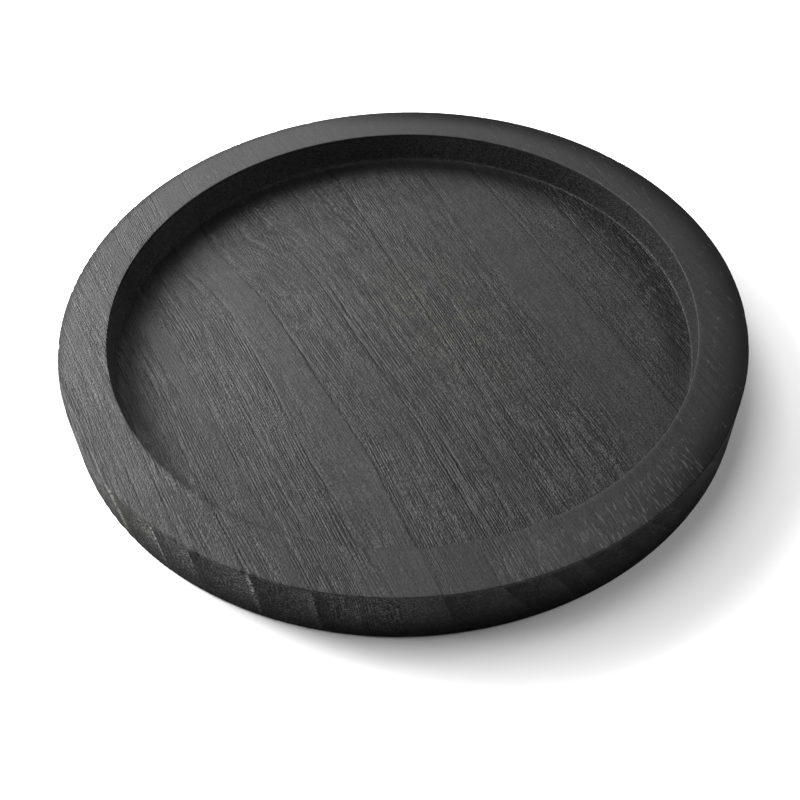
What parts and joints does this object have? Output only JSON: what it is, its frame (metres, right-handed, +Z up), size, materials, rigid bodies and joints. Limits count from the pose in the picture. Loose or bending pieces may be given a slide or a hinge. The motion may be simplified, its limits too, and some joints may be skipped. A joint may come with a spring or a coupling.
{
  "type": "serving tray",
  "caption": "Round flat-bottomed wooden tray with a shallow routed recess inside a plain raised rim, for serving or displaying food and drink.",
  "frame": {"origin": "centre of the flat underside, on the surface that the tray stands on", "axes": "+Z up through the open recess; the grain and the staves run along Y, and the staves lie side by side along X"},
  "size_m": [0.3, 0.3, 0.028],
  "materials": {
    "black_stained_wood": "black-stained, wire-brushed open-grain wood, satin"
  },
  "bodies": {
    "root": {"left_edge_stave": "black_stained_wood", "left_stave": "black_stained_wood", "centre_stave": "black_stained_wood", "right_stave": "black_stained_wood", "right_edge_stave": "black_stained_wood"}
  },
  "joints": []
}
